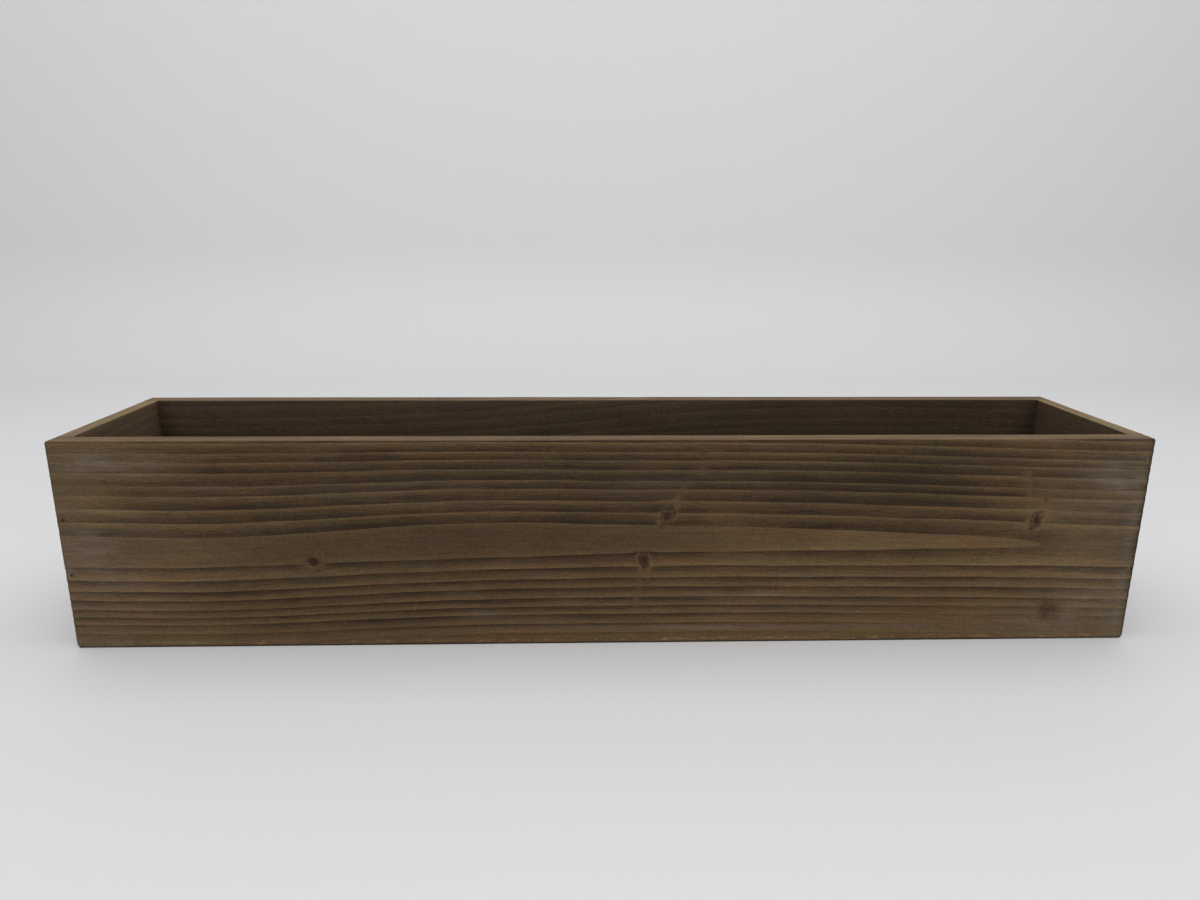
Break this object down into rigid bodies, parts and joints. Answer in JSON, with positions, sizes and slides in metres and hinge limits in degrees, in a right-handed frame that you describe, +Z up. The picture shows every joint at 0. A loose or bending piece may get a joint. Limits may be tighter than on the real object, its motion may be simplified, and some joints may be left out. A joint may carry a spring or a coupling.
{
  "type": "window box planter",
  "caption": "Long narrow open-topped wooden trough planter, boards butted, glued and nailed at the corners, with a grooved-in floor and drain holes.",
  "frame": {"origin": "on the ground under the middle of the box, in the plane of the walls' lower edges", "axes": "+Z up, X along the length of the box, the front board faces -Y"},
  "size_m": [0.762, 0.1524, 0.1524],
  "materials": {
    "brushed_fir": "brushed, brown-grey stained, matt",
    "shaded_fir": "brown stained, matt",
    "dark_steel": "dulled, set just under the face"
  },
  "bodies": {
    "root": {"front_board": "brushed_fir", "back_board": "brushed_fir", "left_end_board": "brushed_fir", "right_end_board": "brushed_fir", "floor_board": "shaded_fir", "front_brad_left_1": "dark_steel", "front_brad_left_2": "dark_steel", "front_brad_left_3": "dark_steel", "front_brad_left_4": "dark_steel", "front_brad_right_1": "dark_steel", "front_brad_right_2": "dark_steel", "front_brad_right_3": "dark_steel", "front_brad_right_4": "dark_steel", "back_brad_left_1": "dark_steel", "back_brad_left_2": "dark_steel", "back_brad_left_3": "dark_steel", "back_brad_left_4": "dark_steel", "back_brad_right_1": "dark_steel", "back_brad_right_2": "dark_steel", "back_brad_right_3": "dark_steel", "back_brad_right_4": "dark_steel"}
  },
  "joints": []
}
